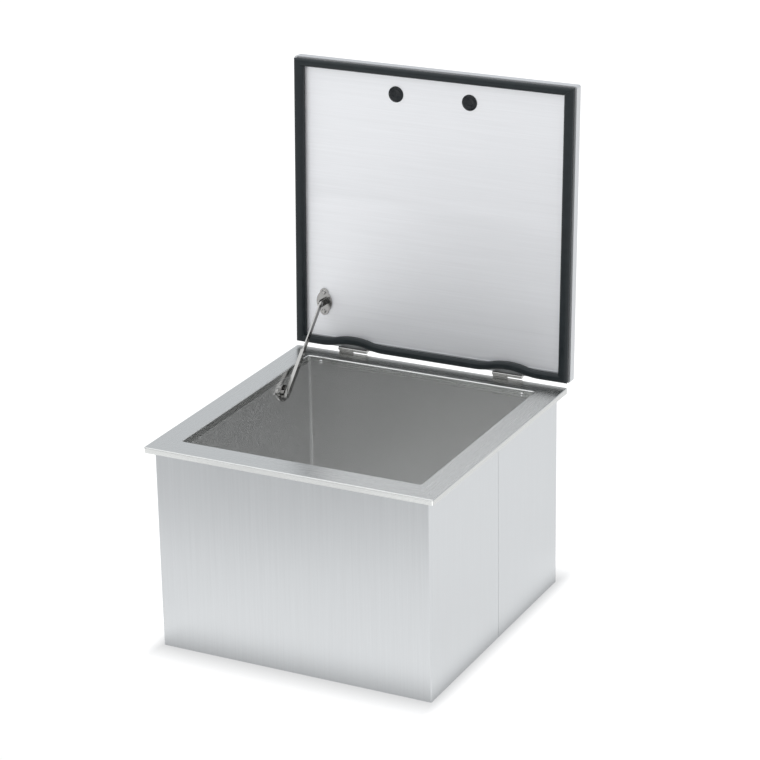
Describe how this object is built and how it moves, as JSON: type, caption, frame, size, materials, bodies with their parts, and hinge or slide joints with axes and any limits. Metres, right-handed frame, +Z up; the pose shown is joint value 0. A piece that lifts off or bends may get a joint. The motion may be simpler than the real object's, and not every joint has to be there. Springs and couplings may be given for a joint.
{
  "type": "drop-in cooler",
  "caption": "Insulated stainless drop-in cooler: square tub with a counter flange, hinged lid with black seal, folding lid stay, bar handle and floor drain with stopper.",
  "frame": {"origin": "centre of the drain outlet, in the plane of the cooler's base", "axes": "+Z up, out of the tub's mouth; -Y to the front, where the lid opens; +X to the right seen from the front"},
  "size_m": [0.513, 0.5961, 0.858],
  "materials": {
    "casing_steel": "satin",
    "flange_steel": "satin",
    "liner_steel": "satin",
    "lid_steel": "satin",
    "panel_steel": "satin",
    "bright_steel": "polished",
    "drain_steel": "satin",
    "seal_rubber": "matte",
    "plug_rubber": "satin",
    "stopper_rubber": "matte",
    "foam": "matte"
  },
  "bodies": {
    "cooler_body": {"top_flange": "flange_steel", "front_wrap": "casing_steel", "rear_wrap": "casing_steel", "bottom_pan": "casing_steel", "inner_liner": "liner_steel", "body_insulation": "foam", "liner_rivets": "liner_steel", "drain_body": "drain_steel", "drain_gasket": "seal_rubber", "drain_locknut": "drain_steel", "hinge_base_rivets": "bright_steel", "stay_wall_bracket": "bright_steel", "stay_wall_screws": "bright_steel", "hinge_base_leaf_left": "bright_steel", "hinge_pin_left": "bright_steel", "hinge_base_leaf_right": "bright_steel", "hinge_pin_right": "bright_steel"},
    "lid": {"lid_outer_shell": "lid_steel", "lid_inner_panel": "panel_steel", "lid_insulation": "foam", "lid_gasket": "seal_rubber", "handle_bar": "bright_steel", "handle_bolts": "bright_steel", "handle_washers": "bright_steel", "hinge_lid_rivets": "bright_steel", "stay_lid_bracket": "bright_steel", "stay_lid_screws": "bright_steel", "stay_lid_pin": "bright_steel", "hole_plug_left": "plug_rubber", "handle_post_left": "bright_steel", "hole_plug_right": "plug_rubber", "handle_post_right": "bright_steel", "hinge_lid_leaf_left": "bright_steel", "hinge_lid_leaf_right": "bright_steel"},
    "stay_upper": {"stay_upper_bar": "bright_steel"},
    "stay_lower": {"stay_channel": "bright_steel", "stay_elbow_rivet": "bright_steel", "stay_foot_rivet": "bright_steel"},
    "drain_stopper": {"drain_stopper": "stopper_rubber"}
  },
  "joints": [
    {"name": "lid_hinge", "type": "hinge", "parent": "cooler_body", "child": "lid", "pos_m": [0, 0.2565, 0.356], "axis": [1, 0, 0], "range_deg": [0, 92.1]},
    {"name": "stay_head_pivot", "type": "hinge", "parent": "lid", "child": "stay_upper", "pos_m": [-0.203, 0.25156, 0.43403], "axis": [1, 0, 0], "range_deg": [-114.17, 0]},
    {"name": "stay_elbow", "type": "hinge", "parent": "stay_upper", "child": "stay_lower", "pos_m": [-0.203, 0.16643, 0.35196], "axis": [1, 0, 0], "range_deg": [0, 166.56]},
    {"name": "stopper_lift", "type": "slide", "parent": "cooler_body", "child": "drain_stopper", "axis": [0, 0, 1], "range_m": [0, 0.06]}
  ],
  "couplings": [
    {"joint": "stay_head_pivot", "follows": "lid_hinge", "ratio": -1.2391},
    {"joint": "stay_elbow", "follows": "lid_hinge", "ratio": 1.8079}
  ]
}
